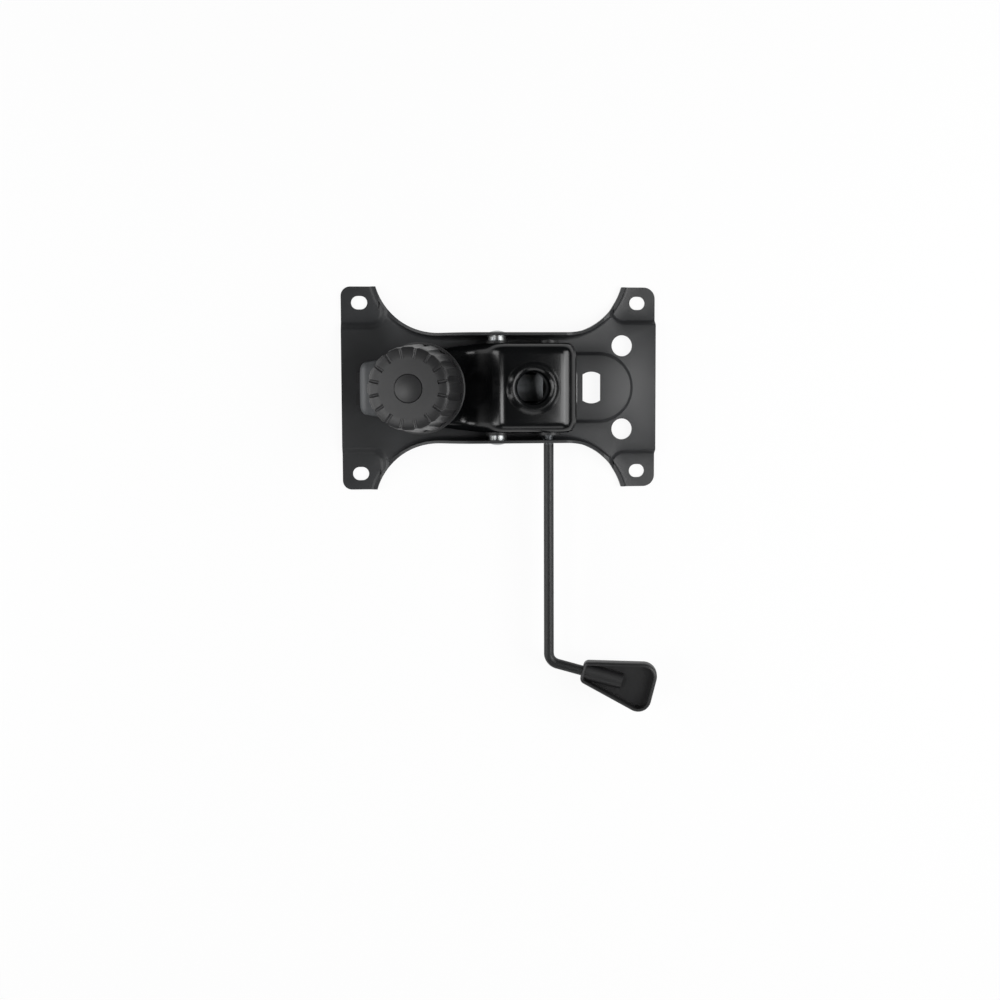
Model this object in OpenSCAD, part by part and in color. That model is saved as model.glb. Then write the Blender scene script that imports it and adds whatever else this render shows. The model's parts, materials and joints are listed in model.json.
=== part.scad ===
// Office chair tilt mechanism, lying on its seat side.
// X runs to the chair's rear, Y across the chair, Z away from the seat.
// The origin is the middle of the four seat bolts, on the face that meets the seat.

/* [Seat plate] */
// Length of the plate, front to rear
plate_l = 288; // [282:1:310]
// Width of the plate across its tabs
plate_w = 184; // [178:1:200]
// Thickness of the pressed sheet
sheet = 2.5; // [2:0.1:3]
// Height of the middle panel over the tabs
joggle = 5; // [4.5:0.1:6]
// Width across the flanges at the waist
waist_w = 98; // [96:0.5:106]
// Radius of the plate's front corners
corner_r = 8.5; // [4:0.5:12]
// Radius of the plate's rear corners
rear_corner_r = 10.5; // [4:0.5:12]
// Radius of the round side cut-outs
cut_r = 59.5; // [50:0.5:62]
// Distance between the two rounds of one cut-out
cut_span = 111; // [100:1:116]
// Distance between the bolt slots, front to rear
bolt_span_x = 255; // [245:0.5:260]
// Distance between the bolt slots, side to side
bolt_span_y = 155; // [148:0.5:158]
// Width of a bolt slot
slot_w = 12.2; // [8:0.1:14]
// Length of a bolt slot
slot_l = 14.6; // [14.2:0.1:18]

/* [Tab steps] */
// Distance from the middle to the front tabs' step
front_step_x = 106; // [100:1:110]
// Distance from the middle to the rear tabs' step
rear_step_x = 103; // [100:1:108]
// Half distance between the two front steps
front_step_y = 56.4; // [55:0.2:60]
// Half distance between the two rear steps
rear_step_y = 59.6; // [58:0.2:62]
// Width of the front steps' slope
front_slope = 8; // [5:0.5:9]
// Width of the rear steps' slope
rear_slope = 5; // [4:0.5:8]
// Corner radius of a step
step_r = 12; // [10:0.5:14]

/* [Flanges] */
// Height of the flanges' edge at the waist
flange_z = 43; // [40:0.5:48]
// Where the full height begins, in front of the middle
flange_front = 24; // [20:1:30]
// Where the full height ends, behind the middle
flange_rear = 56; // [54:1:58]
// Where the flanges' ends run out, from the middle
flange_foot = 100; // [96:1:102]
// Height of the flanges' lip over the sheet beyond them
flange_lip = 2; // [1:0.5:4]
// Inside radius of the flanges' bend
flange_bend = 4; // [2:0.5:5]

/* [Rear panel] */
// Height of the raised rear panel
panel_rise = 3; // [1.5:0.1:3.2]
// Half width of the raised panel
panel_r = 31; // [29:0.5:32]
// Centre of the panel's front round
panel_front = 72; // [70:1:76]
// Centre of the panel's rear round
panel_rear = 90.2; // [88:0.1:93]
// Width of the panel's slope
panel_slope = 4; // [3:0.5:5]
// Diameter of the two round holes beside the panel
side_hole_d = 19.3; // [14:0.1:20]
// Place of those holes behind the middle
side_hole_x = 112.4; // [110:0.2:118]
// Half distance between those holes
side_hole_y = 38.3; // [37.5:0.1:42]
// Diameter of the hole with two flats
flat_hole_d = 29; // [24:0.5:32]
// Distance between its flats
flat_hole_w = 16.6; // [12:0.2:20]
// Place of that hole behind the middle
flat_hole_x = 83.6; // [80:0.2:88]

/* [Pivot] */
// Place of the axle along the plate
pivot_x = -4.5; // [-6:0.1:-3]
// Height of the axle over the seat face
pivot_z = 26; // [25:0.2:28]
// Diameter of the axle
axle_d = 10; // [8:0.5:11]
// Diameter of the axle's riveted heads
axle_head_d = 17; // [14:0.5:20]
// Height of those heads
axle_head_h = 2.2; // [1.5:0.1:4]
// Wall of the axle's bushes
axle_bush_wall = 2.5; // [1.5:0.1:3]
// Angle through which the seat rocks
recline = 10; // [8:0.5:10]

/* [Housing] */
// Room between the housing and each flange
housing_room = 7; // [5.5:0.1:8]
// Height of the housing's bottom over the seat face
housing_z = 56; // [54:0.5:60]
// Rear end of the housing
housing_rear = 65.5; // [65:0.5:68]
// Radius of the rounding at the rear of the bottom
housing_rear_r = 17; // [14:0.5:20]
// Radius of the other roundings of the deep part
housing_edge_r = 10; // [8:0.5:12]
// Place where the slope from the front meets the bottom
ramp_top_x = -5; // [-8:0.5:-2]
// Place where that slope meets the shallow front
ramp_foot_x = -30; // [-32:0.5:-28]
// Place along the plate where the shallow front's height is taken
front_ref_x = -69; // [-72:0.5:-66]
// Height of the shallow front at that place
front_z = 24; // [23:0.2:26]
// Slope of the shallow front
front_slope_angle = 8; // [6:0.5:10]
// Distance from the plate's front edge to the housing's front end
nose_in = 16.5; // [14:0.5:22]
// Half width of the front end
nose_half_w = 23; // [18:0.5:26]
// Radius of the front's roundings
nose_r = 7; // [5:0.5:8]
// Radius of the press lines along the slope
press_r = 8; // [5:0.5:10]
// Height of the housing's open edge in front of the axle
edge_z = 10.5; // [10:0.1:11.5]
// Slope of the open edge behind the axle
edge_slope = 11.5; // [11:0.1:12.5]

/* [Gas lift socket] */
// Place of the socket along the plate
socket_x = 24.6; // [23:0.1:26]
// Diameter of the socket's bore
socket_d = 28; // [24:0.5:28]
// Wall of the socket
socket_wall = 2; // [1.5:0.1:2.2]
// Room between the lever's rod and the socket's inner end
rod_clear = 1; // [0.5:0.1:4]
// Height of the rim over the housing's bottom
rim_h = 2.5; // [1.5:0.1:4]
// Diameter of the rim
rim_d = 39; // [37.5:0.5:44]
// Radial width of the rim's sloping foot
rim_foot_w = 4.5; // [3:0.1:5]
// Length of the straight part of the bore
land_l = 12; // [10:0.5:14]
// Depth of the flared mouth
flare_h = 4.5; // [3:0.1:6]
// Radial width of the flare
flare_w = 3.6; // [2:0.1:4.5]
// Half angle of the cone behind the straight part
cone_angle = 1.43; // [0.5:0.01:1.6]

/* [Tension bolt] */
// Place of the bolt's ball along the plate
ball_x = -64.5; // [-66:0.1:-63]
// Height of the ball's centre over the seat face
ball_z = 6; // [5.8:0.1:6.5]
// Lean of the bolt towards the chair's front
lean = 13; // [12:0.5:14]
// Diameter of the bolt
bolt_d = 10; // [8:0.5:10]
// Radius of the ball
ball_r = 11; // [10:0.1:11.4]
// Distance from the ball's centre to its flat
ball_flat = 4; // [3:0.1:5]
// Diameter of the saddle's flange
saddle_d = 46; // [42:0.5:50]
// Diameter of the saddle's rivets
rivet_d = 4; // [3:0.1:5]
// Diameter of the rivets' heads
rivet_head_d = 7; // [6:0.1:7.6]
// Height of the rivets' heads
rivet_head_h = 1.3; // [1:0.1:1.6]

/* [Tension spring] */
// Diameter of the spring's wire
wire_d = 4.5; // [3.5:0.1:4.6]
// Mean diameter of the curls
curl_d = 37; // [34:0.5:38]
// Length of the spring as fitted
spring_l = 43.5; // [42:0.5:46]
// Open curls between the two closed ends
open_curls = 3.5; // [3:0.25:4]
// Gap between the wires of a closed end
closed_gap = 0.7; // [0.5:0.1:1]
// Least thickness of the wedge under the spring
wedge_t = 2.2; // [1.6:0.1:3]
// Diameter of the wedge
wedge_d = 46; // [44:0.5:52]
// Height of the wedge's collar inside the spring
collar_h = 4; // [2:0.5:6]
// Room for the bolt's sideways travel in the wedge
bolt_room = 2.8; // [2.4:0.1:3.2]
// Wall of the spring cup
cup_wall = 2.5; // [2:0.1:3]
// Depth of the spring cup
cup_depth = 23; // [16:0.5:26]
// Floor of the spring cup
cup_floor = 3; // [2:0.1:4]
// Room beside the spring in its cup
cup_room = 3.7; // [3:0.1:4]
// Thickness of the slip washer
slip_t = 1.5; // [1:0.1:2.5]

/* [Tension knob] */
// Diameter of the knob's face
knob_d = 71; // [66:0.5:74]
// Diameter of the knob's foot ring
knob_foot_d = 80; // [76:0.5:81]
// Height of the foot ring
knob_foot_h = 4; // [3:0.1:6]
// Length of the skirt below the hub
skirt_l = 32; // [30:0.5:33]
// Wall of the skirt
skirt_wall = 6; // [4.5:0.1:6.2]
// Thickness of the face
face_t = 5; // [4.6:0.1:6]
// Diameter of the hub
hub_d = 28; // [26:0.5:32]
// Width of the nut across its flats
nut_w = 17; // [16:0.1:17.5]
// Height of the nut
nut_h = 8; // [6:0.1:9]
// Thickness of the hub under the nut
hub_floor = 3; // [2:0.1:4]
// Room over the nut for the bolt's end and the cap
cap_room = 6.8; // [6.4:0.1:9]
// Diameter of the cap
cap_d = 23; // [21.5:0.1:25]
// Thickness of the cap's rim
cap_t = 2; // [1.5:0.1:3]
// Bevel of the face round the cap
cap_bevel = 0.8; // [0.4:0.1:1.2]
// Height of the cap's dome
cap_dome = 1.2; // [0.8:0.1:2]
// Number of grip flutes
flutes = 16; // [10:1:20]
// Radius of a flute
flute_r = 5.5; // [4:0.5:7]
// Depth of a flute
flute_depth = 1.6; // [1:0.1:2.2]
// Radius of the short grooves on the face
groove_r = 1.6; // [0.6:0.1:2]
// Length of those grooves
groove_l = 10; // [6:0.5:12]
// Step from the foot ring to the skirt
foot_step = 1.5; // [1.5:0.1:3]
// Bevel of the foot ring's edges
foot_bevel = 1; // [0.5:0.1:1.4]
// Rounding of the face's edge
face_round = 3.5; // [2:0.1:4]
// Number of ribs between hub and skirt
knob_ribs = 8; // [4:1:12]
// Thickness of those ribs
knob_rib_t = 2; // [1.5:0.1:3]

/* [Lever] */
// Place of the lever's rod along the plate
lever_x = 41.5; // [41.3:0.1:43]
// Height of the rod over the seat face
lever_z = 28; // [27.5:0.1:29]
// Diameter of the rod
rod_d = 9; // [8:0.1:9.2]
// Diameter of the rod's neck at the flange
neck_d = 7.6; // [6:0.1:7.8]
// Length of the neck
neck_l = 6; // [4:0.5:8]
// Distance from the flange to the neck's outer end
neck_out = 1; // [0.5:0.1:2]
// Distance from the middle to the lever's corner
corner_l = 249; // [220:1:270]
// Bend radius of the rod
bend_r = 10; // [8:0.5:14]
// Angle of the lever's end to the X axis
heading = 14; // [10:0.5:25]
// Angle by which the lever's end leans away from the seat
crank = 12; // [6:0.5:16]
// Outer diameter of the sleeve on the rod
sleeve_d = 13; // [12.6:0.1:14]
// Length of the sleeve
sleeve_l = 18; // [14:0.5:20]
// Wall of the lever's bushes
lever_bush_wall = 2; // [1.5:0.1:3]
// Length of the guide bush
guide_l = 15; // [12:0.5:18]
// Length of the end bush
end_bush_l = 13; // [11:0.5:16]
// Width of a retaining ring on the rod
ring_w = 2; // [1:0.1:2.4]
// Width of the release tongue
tongue_w = 24; // [20:0.5:26]
// Thickness of the release tongue
tongue_t = 2.5; // [2:0.1:3]
// Free end of the tongue along the plate
tongue_tip = 8; // [7:0.5:11]
// Bend of the tongue along the plate
tongue_knee = 27; // [25:0.5:29]
// Height of the tongue over the seat face
tongue_z = 16.5; // [16:0.1:17.5]

/* [Paddle] */
// Distance from the lever's corner to the paddle
paddle_start = 31; // [26:0.5:36]
// Length of the paddle
paddle_l = 66.5; // [60:0.5:80]
// Width of the paddle at the rod
paddle_root_w = 21; // [20:0.5:26]
// Width of the paddle at its end
paddle_end_w = 45; // [40:0.5:52]
// Thickness of the paddle
paddle_t = 12; // [11.6:0.2:14]
// Corner radius of the paddle's end
paddle_end_r = 12; // [8:0.5:16]
// Corner radius of the paddle's root
paddle_root_r = 5; // [4:0.5:6]
// Rounding of the paddle's edges
paddle_edge_r = 2.5; // [1.5:0.1:3]
// Wall of the paddle's rim
paddle_wall = 3; // [2:0.1:4]
// Floor of the paddle's hollow
paddle_floor = 3; // [2:0.1:3.5]
// Length of the rod inside the paddle
paddle_grip = 34; // [24:0.5:38]
// Width of the boss round the rod at its far end
boss_w = 14; // [13:0.5:18]
// Depth of the boss's top under the paddle's rim
boss_drop = 0.3; // [0.1:0.1:0.5]

/* [Stops] */
// Length of a bumper under the housing's front edge
bumper_l = 13; // [9:0.5:16]
// Width of such a bumper
bumper_w = 10; // [6:0.5:12]
// Half distance between the two bumpers
bumper_y = 10; // [7:0.5:12]
// Length of a recline clip
clip_l = 12; // [8:0.5:16]
// Place of the clips along the plate
clip_x = 20; // [19:0.5:21]
// Thickness of a clip's side legs
clip_leg_t = 2; // [1.5:0.1:2.5]
// Depth of a clip's legs on the wall
clip_leg_h = 6; // [4:0.5:8]

/* [Clearances] */
// Radial clearance of a turning fit
run_gap = 0.05; // [0.02:0.01:0.08]
// Radial clearance of a sliding fit
slide_gap = 0.04; // [0.02:0.01:0.05]
// Clearance between faces that pass or meet
face_gap = 0.1; // [0.05:0.01:0.2]
// Clearance of the ball in its saddle
ball_gap = 0.3; // [0.25:0.01:0.4]
// Clearance of fixed pieces in their holes
seat_gap = 0.03; // [0.01:0.01:0.06]
// Clearance round the rod in the flange's slot
rod_room = 0.7; // [0.5:0.1:1]

/* [Hidden] */
$fn = 96;
hull_fn = 32;
far = 400;
lap = 0.05;
panel_z = joggle + sheet;
waist_y = waist_w / 2;
housing_w = waist_w - 2 * (sheet + housing_room);
nose_x = plate_l / 2 - nose_in;
wall_y = housing_w / 2;
wall_in_y = wall_y - sheet;
cut_y = waist_y + cut_r;
axle_r = axle_d / 2;
rod_r = rod_d / 2;
bolt_r = bolt_d / 2;
flange_in_y = waist_y - sheet;
// The gap beside the housing is shared by a bush's collar and a washer
side_gap = flange_in_y - wall_y;
collar_share = 0.4;
collar_t = side_gap * collar_share;
collar_y = wall_y + collar_t;

// Distances along the bolt, from the ball's centre
front_slope_tan = tan(front_slope_angle);
function front_top(x) = front_z + (x - front_ref_x) * front_slope_tan;
floor_w = (front_top(ball_x) - ball_z) / (cos(lean) + sin(lean) * front_slope_tan);
wedge_tilt = lean - front_slope_angle;
wedge_top_w = floor_w + wedge_t + wedge_d / 2 * tan(wedge_tilt);
cup_in_w = wedge_top_w + spring_l;
cup_top_w = cup_in_w + cup_floor;
hub_w = cup_top_w + slip_t + 2 * face_gap;
knob_foot_w = hub_w - skirt_l;
nut_w0 = hub_w + hub_floor;
face_w = nut_w0 + nut_h + cap_room;
bolt_end_w = nut_w0 + nut_h;
cup_in_r = curl_d / 2 + wire_d / 2 + cup_room;
cup_r = cup_in_r + cup_wall;
skirt_in_r = knob_d / 2 - skirt_wall;

// The rod's turning point and end, in the lever's own plane
bend_angle = 90 - heading;
bend_run = bend_r * tan(bend_angle / 2);
// A bent rod swells a little in its bend
bend_swell = 0.05;
sleeve_y = -wall_in_y;
rod_end_y = (wall_y + flange_in_y) / 2;
rod_reach = norm([lever_x - pivot_x, lever_z - pivot_z]);
rod_angle = atan2(lever_z - pivot_z, lever_x - pivot_x);
guide_r = sleeve_d / 2 + slide_gap;
// The retaining rings stay inside the sleeve's outline
ring_drop = 0.3;
ring_r = sleeve_d / 2 - ring_drop;

function smooth(t) = t * t * (3 - 2 * t);

// Places its children and their mirror image across the chair
module both_sides() {
    children();
    mirror([0, 1, 0]) children();
}

// A round bar across the chair
module bar_y(x, z, r, y0, y1) {
    translate([x, y1, z]) rotate([90, 0, 0]) cylinder(r = r, h = y1 - y0);
}

// An outline in X and Z, extruded across the chair
module across(y0, y1) {
    translate([0, y1, 0]) rotate([90, 0, 0]) linear_extrude(y1 - y0) children();
}

// The bolt's own frame: origin in the ball, Z along the bolt
module on_bolt() {
    translate([ball_x, 0, ball_z]) rotate([0, -lean, 0]) children();
}

// The lever's own plane: Y along the rod, X and Y through its bent end
module on_lever() {
    translate([lever_x, 0, lever_z]) rotate([0, -crank, 0]) children();
}

// The frame of the lever's end, from its corner outwards along X
module on_lever_end() {
    on_lever() translate([0, -corner_l, 0]) rotate([0, 0, -heading]) children();
}

// The outline between two bent side cut-outs and four round corners
module plate_outline() {
    difference() {
        union() {
            plate_half(rear_corner_r);
            mirror([1, 0]) plate_half(corner_r);
        }
        both_sides() side_cut(0);
    }
}

// The rear half of the plate's rectangle, with the given corner radius
module plate_half(r) {
    x = plate_l / 2 - r;
    y = plate_w / 2 - r;
    translate([0, -plate_w / 2]) square([x, plate_w]);
    translate([0, -y]) square([plate_l / 2, 2 * y]);
    for (sy = [-1, 1])
        translate([x, sy * y]) circle(r);
}

// One side cut-out, grown by the given width
module side_cut(grow) {
    r = cut_r + grow;
    for (s = [-1, 1])
        translate([s * cut_span / 2, cut_y]) circle(r);
    translate([-cut_span / 2, cut_y - r]) square([cut_span, 2 * r]);
}

// The area of a tab in the quarter with positive X and Y, grown by the given width
module tab_area(step_x, step_y, grow) {
    translate([step_x + step_r, step_y + step_r]) circle(step_r + grow);
    translate([step_x - grow, step_y + step_r]) square([plate_l, plate_w]);
    translate([step_x + step_r, step_y - grow]) square([plate_l, plate_w]);
}

// The section of a soft slope between two levels of the sheet, along X
module slope_section(middle, width, z0, z1) {
    parts = 6;
    a = middle - width / 2;
    low = concat(
        [[a - lap, z0]],
        [for (i = [0:parts]) [a + width * i / parts, z0 + (z1 - z0) * smooth(i / parts)]],
        [[a + width + lap, z1]]
    );
    n = len(low);
    polygon(concat(low, [for (i = [1:n]) low[n - i] + [0, sheet]]));
}

// The slope round a tab in the quarter with positive X and Y
module tab_slope(step_x, step_y, width) {
    cx = step_x + step_r;
    cy = step_y + step_r;
    translate([cx, cy, 0]) {
        rotate([0, 0, 180]) rotate_extrude(angle = 90)
            slope_section(step_r, width, 0, joggle);
        rotate([90, 0, 180]) linear_extrude(plate_w - cy)
            slope_section(step_r, width, 0, joggle);
        rotate([90, 0, 90]) mirror([1, 0, 0]) linear_extrude(plate_l - cx)
            slope_section(step_r, width, 0, joggle);
    }
}

// One tab and its slope, in the quarter with positive X and Y
module tab(step_x, step_y, width) {
    linear_extrude(sheet) tab_area(step_x, step_y, -width / 2);
    tab_slope(step_x, step_y, width);
}

// The raised rear panel's area, grown by the given width
module panel_area(grow) {
    r = panel_r + grow;
    for (x = [panel_front, panel_rear])
        translate([x, 0]) circle(r);
    translate([panel_front, -r]) square([panel_rear - panel_front, 2 * r]);
}

// The slope round the raised rear panel
module panel_edge() {
    top = joggle + panel_rise;
    translate([panel_rear, 0, 0]) rotate([0, 0, -90]) rotate_extrude(angle = 180)
        slope_section(panel_r, panel_slope, top, joggle);
    translate([panel_front, 0, 0]) rotate([0, 0, 90]) rotate_extrude(angle = 180)
        slope_section(panel_r, panel_slope, top, joggle);
    both_sides() translate([panel_front, 0, 0]) rotate([90, 0, 90])
        linear_extrude(panel_rear - panel_front)
            slope_section(panel_r, panel_slope, top, joggle);
}

// The flanges' side view: full height at the waist, running out to a lip along the tabs
module flange_view() {
    steps = 10;
    low = panel_z + flange_lip;
    tab_low = sheet + flange_lip;
    front_in = front_step_x - front_slope / 2;
    front_out = front_step_x + front_slope / 2;
    rear_in = rear_step_x - rear_slope / 2;
    rear_out = rear_step_x + rear_slope / 2;
    rise = flange_z - low;
    front_run = flange_foot - flange_front;
    rear_run = flange_foot - flange_rear;
    front = [for (i = [0:steps])
        [-flange_foot + front_run * i / steps, low + rise * smooth(i / steps)]];
    rear = [for (i = [0:steps])
        [flange_rear + rear_run * i / steps, low + rise * smooth(1 - i / steps)]];
    polygon(concat(
        [[-front_in, joggle], [-front_out, 0], [-plate_l / 2, 0], [-plate_l / 2, tab_low]],
        [[-max(front_out, flange_foot + sheet), tab_low], [-max(front_in, flange_foot + lap), low]],
        front, rear,
        [[max(rear_in, flange_foot + lap), low], [max(rear_out, flange_foot + sheet), tab_low]],
        [[plate_l / 2, tab_low], [plate_l / 2, 0], [rear_out, 0], [rear_in, joggle]]
    ));
}

// The section of the bend inside a flange, over sheet with its top at the given height
module bend_section(z) {
    parts = 4;
    r = cut_r + sheet;
    polygon(concat(
        [[r - lap, z - lap], [r + flange_bend, z - lap]],
        [for (i = [0:parts]) [r, z] + flange_bend * [1 - sin(90 * i / parts), 1 - cos(90 * i / parts)]],
        [[r - lap, z + flange_bend]]
    ));
}

// The bend along one side cut-out
module flange_bend_strip(z) {
    for (s = [0, 1])
        translate([(s - 0.5) * cut_span, cut_y, 0]) rotate([0, 0, 180 + 90 * s])
            rotate_extrude(angle = 90) bend_section(z);
    translate([-cut_span / 2, cut_y, 0]) rotate([90, 0, 90]) mirror([1, 0, 0])
        linear_extrude(cut_span) bend_section(z);
}

// A slot with round ends, along X
module slot_area(run, width) {
    for (s = [-1, 1])
        translate([s * run / 2, 0]) circle(d = width);
    square([run, width], center = true);
}

// The way of the rod through the near flange while the seat rocks
module rod_slot() {
    half = recline / 2;
    middle = rod_reach * (1 + cos(half)) / 2;
    translate([pivot_x, pivot_z]) rotate(rod_angle - half) translate([middle, 0]) rotate(90)
        slot_area(2 * rod_reach * sin(half), rod_d + 2 * rod_room);
}

// The places of the saddle's rivets
module rivet_places() {
    place_r = (saddle_d / 2 + ball_r + ball_gap + sheet) / 2;
    for (a = [45:90:315])
        translate([ball_x, 0, 0]) rotate([0, 0, a]) translate([place_r, 0, 0]) children();
}

module seat_plate() {
    color("#3a3b3d")
    difference() {
        union() {
            intersection() {
                linear_extrude(flange_z) plate_outline();
                union() {
                    translate([0, 0, joggle]) linear_extrude(sheet) difference() {
                        square([plate_l, plate_w], center = true);
                        both_sides() {
                            tab_area(rear_step_x, rear_step_y, rear_slope / 2);
                            mirror([1, 0]) tab_area(front_step_x, front_step_y, front_slope / 2);
                        }
                        panel_area(panel_slope / 2);
                    }
                    both_sides() {
                        tab(rear_step_x, rear_step_y, rear_slope);
                        mirror([1, 0, 0]) tab(front_step_x, front_step_y, front_slope);
                    }
                    translate([0, 0, joggle + panel_rise]) linear_extrude(sheet)
                        panel_area(-panel_slope / 2);
                    panel_edge();
                }
            }
            both_sides() intersection() {
                union() {
                    linear_extrude(flange_z + joggle) difference() {
                        side_cut(sheet);
                        side_cut(0);
                    }
                    flange_bend_strip(panel_z);
                    intersection() {
                        flange_bend_strip(sheet);
                        linear_extrude(flange_z) {
                            translate([rear_step_x + rear_slope / 2, 0]) square(plate_l);
                            mirror([1, 0]) translate([front_step_x + front_slope / 2, 0]) square(plate_l);
                        }
                    }
                }
                across(0, plate_w / 2) flange_view();
            }
        }
        for (sx = [-1, 1], sy = [-1, 1])
            translate([sx * bolt_span_x / 2, sy * bolt_span_y / 2, -sheet])
                linear_extrude(3 * sheet) slot_area(slot_l - slot_w, slot_w);
        both_sides() translate([side_hole_x, side_hole_y, 0])
            cylinder(d = side_hole_d, h = flange_z);
        linear_extrude(flange_z) intersection() {
            translate([flat_hole_x, 0]) circle(d = flat_hole_d);
            translate([flat_hole_x, 0]) square([flat_hole_w, flat_hole_d], center = true);
        }
        translate([ball_x, 0, 0])
            cylinder(r = ball_r + ball_gap + sheet + seat_gap, h = flange_z);
        rivet_places() cylinder(d = rivet_d + 2 * seat_gap, h = flange_z);
        bar_y(pivot_x, pivot_z, axle_r + seat_gap, -plate_w, plate_w);
        across(-waist_w, 0) rod_slot();
    }
}

// Half of the saddle's section: a flange under the plate and a dome through it
module saddle_section() {
    in_r = ball_r + ball_gap;
    low = joggle - sheet;
    difference() {
        union() {
            translate([0, low]) square([saddle_d / 2, sheet]);
            translate([0, low]) square([in_r + sheet, ball_z - low]);
            intersection() {
                translate([0, ball_z]) circle(in_r + sheet);
                translate([0, ball_z]) square(in_r + sheet);
            }
        }
        translate([0, ball_z]) circle(in_r);
        square([in_r, ball_z]);
    }
}

module bolt_saddle() {
    color("#77797c")
    difference() {
        translate([ball_x, 0, 0]) rotate_extrude() saddle_section();
        // The bolt's way through the dome while the seat rocks
        translate([ball_x, 0, ball_z]) rotate([0, recline / 2 - lean, 0])
            cylinder(r = bolt_r + rod_room + (ball_r + sheet) * sin(recline / 2), h = far);
        rivet_places() cylinder(d = rivet_d + 2 * seat_gap, h = joggle + sheet);
    }
}

module saddle_rivets() {
    color("#8d8f92")
    rivet_places() {
        translate([0, 0, joggle - sheet - rivet_head_h])
            cylinder(d = rivet_d, h = 2 * sheet + 2 * rivet_head_h);
        translate([0, 0, joggle - sheet - rivet_head_h])
            cylinder(d = rivet_head_d, h = rivet_head_h);
        translate([0, 0, panel_z]) cylinder(d = rivet_head_d, h = rivet_head_h);
    }
}

module pivot_axle() {
    dome_r = (pow(axle_head_d / 2, 2) + pow(axle_head_h, 2)) / (2 * axle_head_h);
    color("#d0d2d4") {
        bar_y(pivot_x, pivot_z, axle_r, -waist_y - lap, waist_y + lap);
        both_sides() intersection() {
            translate([pivot_x, waist_y + axle_head_h - dome_r, pivot_z]) sphere(dome_r);
            bar_y(pivot_x, pivot_z, axle_head_d / 2, waist_y, waist_y + 2 * axle_head_h);
        }
    }
}

module axle_washers() {
    color("#c4c6c8")
    both_sides() difference() {
        bar_y(pivot_x, pivot_z, axle_head_d / 2, collar_y + face_gap, flange_in_y);
        bar_y(pivot_x, pivot_z, axle_r + seat_gap, 0, waist_w);
    }
}

module front_bumpers() {
    color("#1d1d1e")
    both_sides()
        translate([-nose_x - bumper_l / 4, bumper_y - bumper_w / 2, panel_z])
            cube([bumper_l, bumper_w, edge_z - panel_z - face_gap]);
}

// The housing's form, drawn in by the given thickness, as sections along X
turn = 10;
front_parts = 3;
ramp_parts = 12;
front_cx = -nose_x + nose_r;
bottom_cx = housing_rear - housing_rear_r;
side_cx = housing_rear - housing_edge_r;
ramp_tan = (housing_z - front_top(ramp_foot_x)) / (ramp_top_x - ramp_foot_x);
ramp_start = ramp_foot_x - press_r / (ramp_tan - front_slope_tan);
ramp_end = ramp_top_x + press_r / ramp_tan;
function blend(a, b, k) = let (h = max(k - abs(a - b), 0)) min(a, b) - h * h / (4 * k);
function arc_rise(r, x) = sqrt(max(r * r - x * x, 0));
function side_line(x) =
    nose_half_w + (x + nose_x) * (wall_y - nose_half_w) / (ramp_foot_x + nose_x);
function half_w(x, inset) =
    x < front_cx ? side_line(front_cx) - nose_r + arc_rise(nose_r - inset, x - front_cx)
    : x > side_cx ? wall_y - housing_edge_r + arc_rise(housing_edge_r - inset, x - side_cx)
    : blend(side_line(x), wall_y, press_r / 2) - inset;
function top_line(x, inset) =
    let (front = front_top(x) - inset / cos(front_slope_angle))
    let (ramp = housing_z + (x - ramp_top_x) * ramp_tan - inset * norm([1, ramp_tan]))
    -blend(-front, -blend(ramp, housing_z - inset, press_r), press_r);
function top_z(x, inset) =
    x < front_cx ? top_line(front_cx, 0) - nose_r + arc_rise(nose_r - inset, x - front_cx)
    : x > bottom_cx ? housing_z - housing_rear_r + arc_rise(housing_rear_r - inset, x - bottom_cx)
    : top_line(x, inset);
function edge_r(x) =
    nose_r + (housing_edge_r - nose_r) * smooth(min(max((x - front_ref_x) / -front_ref_x, 0), 1));
function stations(inset) = concat(
    [for (a = [90:-turn:turn]) front_cx - (nose_r - inset) * sin(a)],
    [for (i = [0:front_parts]) front_cx + (ramp_start - front_cx) * i / front_parts],
    [for (i = [1:ramp_parts]) ramp_start + (ramp_end - ramp_start) * i / ramp_parts],
    [bottom_cx],
    [for (a = [turn:turn:90 - turn]) bottom_cx + (housing_rear_r - inset) * sin(a)],
    [housing_rear - inset]
);
function section(x, inset, low) =
    let (h = half_w(x, inset), t = top_z(x, inset), r = edge_r(x) - inset)
    concat(
        [[x, -h, low]],
        [for (a = [180:-turn:90]) [x, r - h + r * cos(a), t - r + r * sin(a)]],
        [for (a = [90:-turn:0]) [x, h - r + r * cos(a), t - r + r * sin(a)]],
        [[x, h, low]]
    );

// A closed body through sections with the same number of points
module loft(sections) {
    n = len(sections[0]);
    last = (len(sections) - 1) * n;
    sides = [for (j = [0:len(sections) - 2], k = [0:n - 1])
        let (a = j * n + k, b = j * n + (k + 1) % n)
        each [[a, b, a + n], [b, b + n, a + n]]];
    ends = [for (k = [1:n - 2]) each [[0, k + 1, k], [last, last + k, last + k + 1]]];
    polyhedron([for (part = sections) each part], concat(sides, ends), convexity = 6);
}

module housing_form(inset, low) {
    loft([for (x = stations(inset)) section(x, inset, low)]);
}

// The side view of everything on the seat's side of the housing's open edge
module below_edge() {
    reach = far * [cos(edge_slope), sin(edge_slope)];
    polygon([
        [-far, -far], [-far, edge_z], [pivot_x, edge_z],
        [pivot_x, edge_z] + reach, [far, -far]
    ]);
}

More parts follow.
